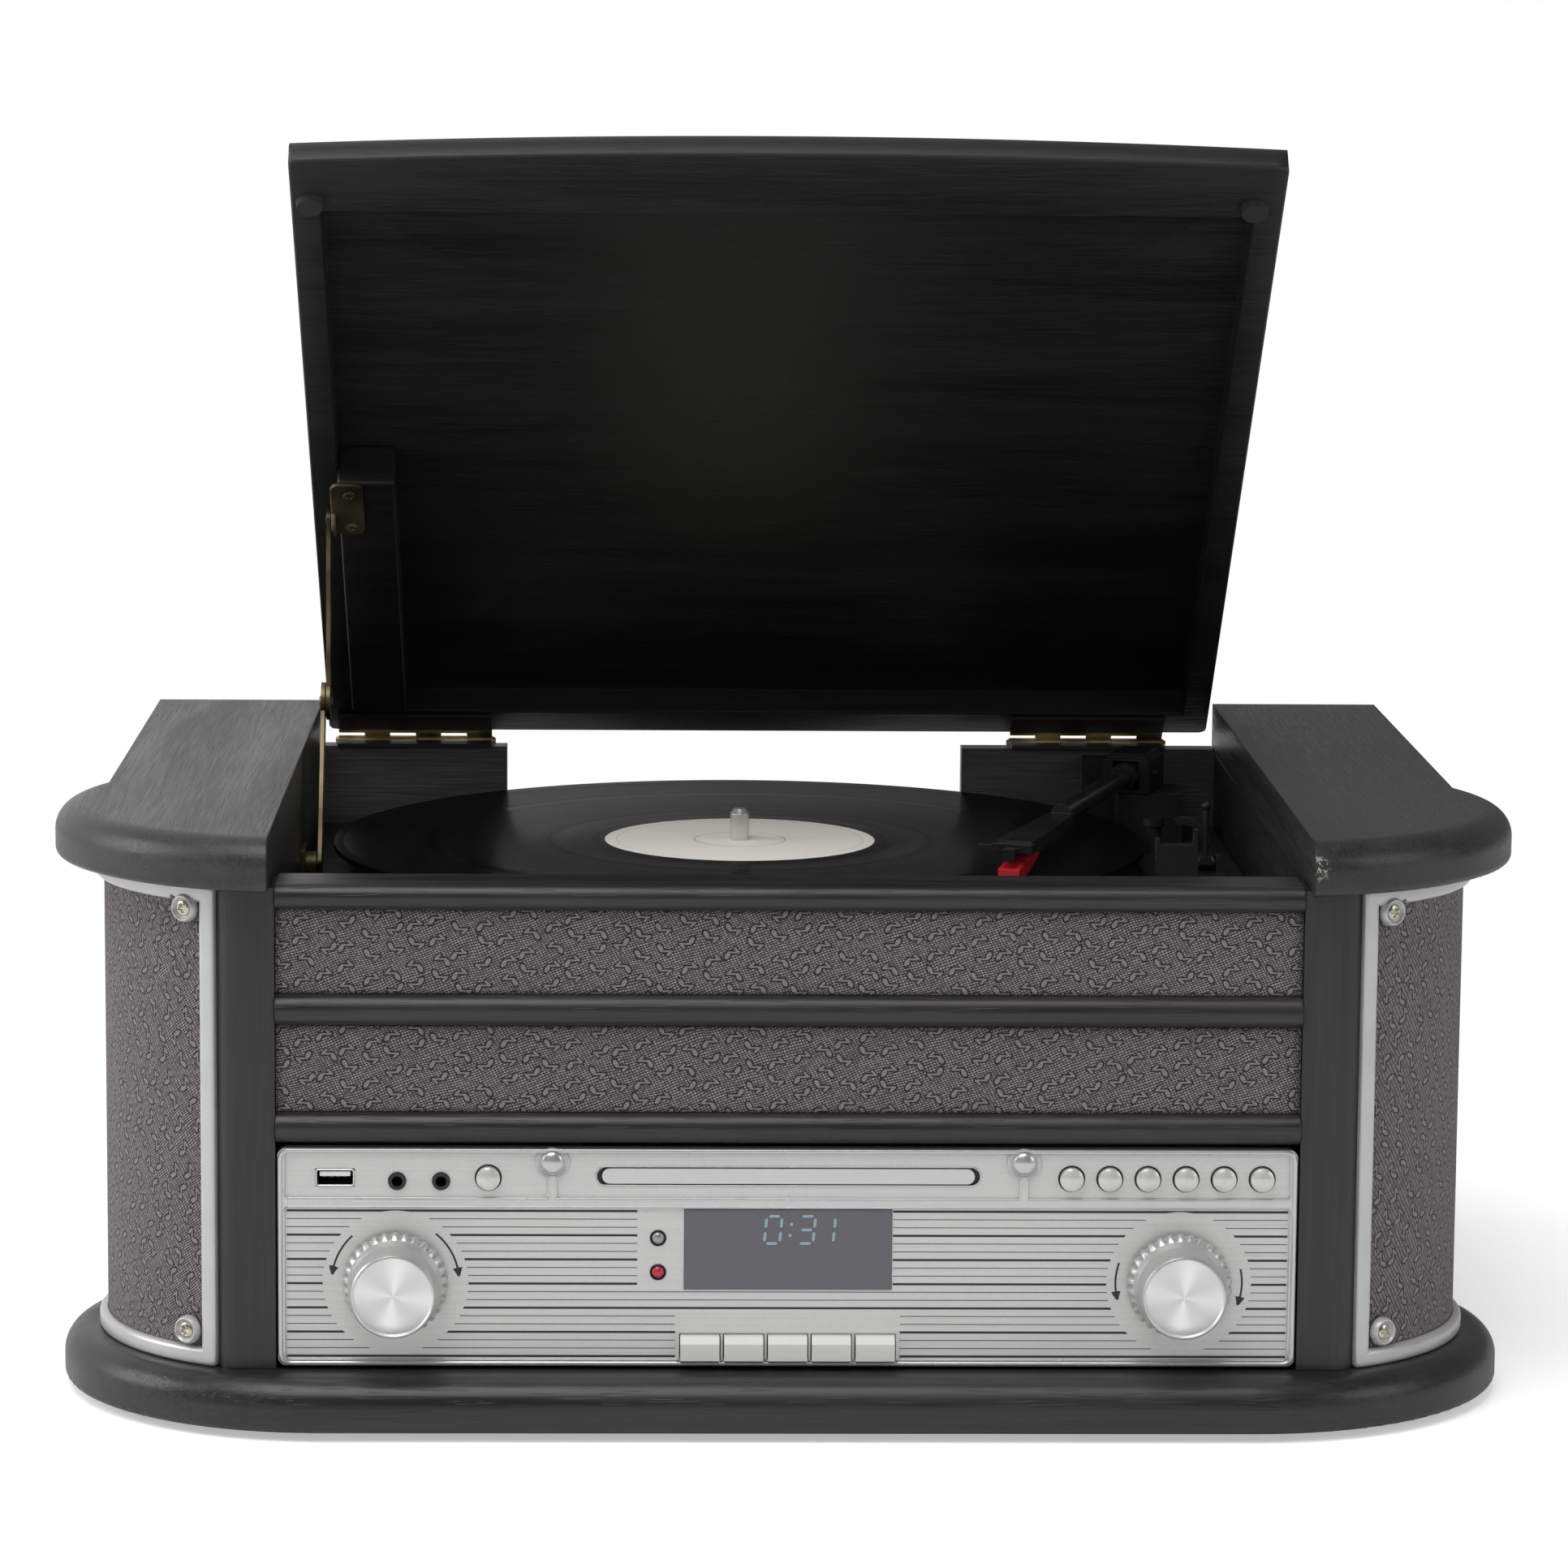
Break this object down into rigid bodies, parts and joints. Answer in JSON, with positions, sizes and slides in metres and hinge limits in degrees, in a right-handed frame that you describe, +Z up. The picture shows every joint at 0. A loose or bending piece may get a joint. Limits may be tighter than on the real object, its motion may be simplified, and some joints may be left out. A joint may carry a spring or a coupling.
{
  "type": "music centre",
  "caption": "Retro table-top music centre: black cabinet with curved cloth-covered speaker corners, silver radio and disc fascia, and a record player under a hinged lid on a folding stay",
  "frame": {"origin": "middle of the footprint, on the table under the rubber feet", "axes": "+X to the right as seen from the front, +Y to the back, +Z up; the front faces -Y"},
  "size_m": [0.507, 0.378, 0.4339],
  "materials": {
    "black_board": "black satin paint over fine wood grain",
    "black_plastic": "black moulded plastic",
    "board_green": "circuit board",
    "brass": "antique brass",
    "brown_board": "raw board",
    "button_silver": "white silver",
    "cloth": "woven dark mauve-grey speaker cloth",
    "display": "slate-grey display window",
    "fascia_silver": "brushed silver plastic with printed stripes",
    "inner_board": "black satin paint",
    "iron": "laminated iron",
    "knob_silver": "satin silver, turned cap",
    "lens": "small clear and red lenses",
    "red_plastic": "red moulded plastic",
    "rubber": "black rubber",
    "silver_plastic": "silver lacquered plastic",
    "steel": "bright steel",
    "vinyl": "black vinyl with fine grooves and a cream label"
  },
  "bodies": {
    "cabinet": {"base_board": "black_board", "feet": "rubber", "rear_panel": "black_board", "side_walls": "black_board", "well_walls": "inner_board", "pillars": "black_board", "top_board_left": "black_board", "top_board_right": "black_board", "front_board": "inner_board", "front_rails": "black_board", "front_cloths": "cloth", "speaker_baffles": "brown_board", "speaker_cloths": "cloth", "speaker_frames": "silver_plastic", "frame_screws": "steel", "speaker_drivers": "black_plastic", "fascia": "fascia_silver", "display_window": "display", "indicator_lenses": "lens", "front_sockets": "black_plastic", "circuit_board": "board_green", "transformer": "iron", "cd_mechanism": "black_plastic", "rear_connectors": "black_plastic", "turntable_deck": "black_plastic", "turntable_motor": "steel", "arm_base": "black_plastic", "arm_rest": "black_plastic", "hinge_leaves_lower": "brass", "stay_wall_bracket": "brass"},
    "turntable": {"platter": "steel", "record": "vinyl"},
    "pulley": {"motor_pulley": "brass"},
    "arm_swivel": {"arm_housing": "black_plastic"},
    "arm": {"tonearm": "black_plastic", "cartridge": "red_plastic"},
    "cue": {"cue_lever": "black_plastic"},
    "lid_unit": {"lid": "black_board", "lid_bumpers": "rubber", "hinge_leaves_upper": "brass", "stay_lid_plate": "brass"},
    "stay_up": {"stay_upper_link": "brass"},
    "stay_low": {"stay_lower_link": "brass"},
    "tray": {"cd_tray": "silver_plastic"},
    "volume_stem": {"volume_shaft": "steel"},
    "volume_cap": {"volume_knob": "knob_silver"},
    "tuning_stem": {"tuning_shaft": "steel"},
    "tuning_cap": {"tuning_knob": "knob_silver"},
    "button_function_body": {"button_function": "button_silver"},
    "button_play_body": {"button_play": "button_silver"},
    "button_stop_body": {"button_stop": "button_silver"},
    "button_back_body": {"button_back": "button_silver"},
    "button_next_body": {"button_next": "button_silver"},
    "button_record_body": {"button_record": "button_silver"},
    "button_tray_body": {"button_tray": "button_silver"},
    "key_menu_body": {"key_menu": "button_silver"},
    "key_info_body": {"key_info": "button_silver"},
    "key_scan_body": {"key_scan": "button_silver"},
    "key_preset_body": {"key_preset": "button_silver"},
    "key_enter_body": {"key_enter": "button_silver"}
  },
  "joints": [
    {"name": "lid_hinge", "type": "hinge", "parent": "cabinet", "child": "lid_unit", "pos_m": [0, 0.1732, 0.1881], "axis": [1, 0, 0], "range_deg": [0, 42.4]},
    {"name": "stay_lower_pivot", "type": "hinge", "parent": "cabinet", "child": "stay_low", "pos_m": [-0.17, 0.025, 0.163], "axis": [1, 0, 0], "range_deg": [-58.44, 0]},
    {"name": "stay_upper_pivot", "type": "hinge", "parent": "lid_unit", "child": "stay_up", "pos_m": [-0.166, 0.05973, 0.28629], "axis": [1, 0, 0], "range_deg": [0, 39.08]},
    {"name": "platter_turn", "type": "hinge", "parent": "cabinet", "child": "turntable", "pos_m": [-0.0135, 0.039, 0.157], "axis": [0, 0, -1], "continuous": true},
    {"name": "pulley_turn", "type": "hinge", "parent": "cabinet", "child": "pulley", "pos_m": [-0.04275, -0.00278, 0.157], "axis": [0, 0, -1], "continuous": true},
    {"name": "arm_swing", "type": "hinge", "parent": "cabinet", "child": "arm_swivel", "pos_m": [0.1395, 0.1285, 0.172], "axis": [0, 0, 1], "range_deg": [-24, 20.2]},
    {"name": "arm_lift", "type": "hinge", "parent": "arm_swivel", "child": "arm", "pos_m": [0.1395, 0.1285, 0.1832], "axis": [-0.9511, 0.309, 0], "range_deg": [0, 4]},
    {"name": "cue_pivot", "type": "hinge", "parent": "cabinet", "child": "cue", "pos_m": [0.1595, 0.0415, 0.162], "axis": [-1, 0, 0], "range_deg": [0, 40]},
    {"name": "tray_slide", "type": "slide", "parent": "cabinet", "child": "tray", "axis": [0, -1, 0], "range_m": [0, 0.128]},
    {"name": "volume_push", "type": "slide", "parent": "cabinet", "child": "volume_stem", "axis": [0, 1, 0], "range_m": [0, 0.001], "stiffness_N_per_m": 1500, "springref_m": -0.0008},
    {"name": "volume_turn", "type": "hinge", "parent": "volume_stem", "child": "volume_cap", "pos_m": [-0.1327, -0.177, 0.0511], "axis": [0, -1, 0], "continuous": true},
    {"name": "tuning_push", "type": "slide", "parent": "cabinet", "child": "tuning_stem", "axis": [0, 1, 0], "range_m": [0, 0.001], "stiffness_N_per_m": 1500, "springref_m": -0.0008},
    {"name": "tuning_turn", "type": "hinge", "parent": "tuning_stem", "child": "tuning_cap", "pos_m": [0.1327, -0.177, 0.0511], "axis": [0, -1, 0], "continuous": true},
    {"name": "button_function_press", "type": "slide", "parent": "cabinet", "child": "button_function_body", "axis": [0, 1, 0], "range_m": [0, 0.001], "stiffness_N_per_m": 800, "springref_m": -0.0008},
    {"name": "button_play_press", "type": "slide", "parent": "cabinet", "child": "button_play_body", "axis": [0, 1, 0], "range_m": [0, 0.001], "stiffness_N_per_m": 800, "springref_m": -0.0008},
    {"name": "button_stop_press", "type": "slide", "parent": "cabinet", "child": "button_stop_body", "axis": [0, 1, 0], "range_m": [0, 0.001], "stiffness_N_per_m": 800, "springref_m": -0.0008},
    {"name": "button_back_press", "type": "slide", "parent": "cabinet", "child": "button_back_body", "axis": [0, 1, 0], "range_m": [0, 0.001], "stiffness_N_per_m": 800, "springref_m": -0.0008},
    {"name": "button_next_press", "type": "slide", "parent": "cabinet", "child": "button_next_body", "axis": [0, 1, 0], "range_m": [0, 0.001], "stiffness_N_per_m": 800, "springref_m": -0.0008},
    {"name": "button_record_press", "type": "slide", "parent": "cabinet", "child": "button_record_body", "axis": [0, 1, 0], "range_m": [0, 0.001], "stiffness_N_per_m": 800, "springref_m": -0.0008},
    {"name": "button_tray_press", "type": "slide", "parent": "cabinet", "child": "button_tray_body", "axis": [0, 1, 0], "range_m": [0, 0.001], "stiffness_N_per_m": 800, "springref_m": -0.0008},
    {"name": "key_menu_press", "type": "slide", "parent": "cabinet", "child": "key_menu_body", "axis": [0, 1, 0], "range_m": [0, 0.001], "stiffness_N_per_m": 800, "springref_m": -0.0008},
    {"name": "key_info_press", "type": "slide", "parent": "cabinet", "child": "key_info_body", "axis": [0, 1, 0], "range_m": [0, 0.001], "stiffness_N_per_m": 800, "springref_m": -0.0008},
    {"name": "key_scan_press", "type": "slide", "parent": "cabinet", "child": "key_scan_body", "axis": [0, 1, 0], "range_m": [0, 0.001], "stiffness_N_per_m": 800, "springref_m": -0.0008},
    {"name": "key_preset_press", "type": "slide", "parent": "cabinet", "child": "key_preset_body", "axis": [0, 1, 0], "range_m": [0, 0.001], "stiffness_N_per_m": 800, "springref_m": -0.0008},
    {"name": "key_enter_press", "type": "slide", "parent": "cabinet", "child": "key_enter_body", "axis": [0, 1, 0], "range_m": [0, 0.001], "stiffness_N_per_m": 800, "springref_m": -0.0008}
  ],
  "couplings": [
    {"joint": "stay_lower_pivot", "follows": "lid_hinge", "ratio": -1.3735},
    {"joint": "stay_upper_pivot", "follows": "lid_hinge", "ratio": 0.91691},
    {"joint": "pulley_turn", "follows": "platter_turn", "ratio": 10},
    {"joint": "arm_lift", "follows": "cue_pivot", "ratio": 0.1}
  ]
}
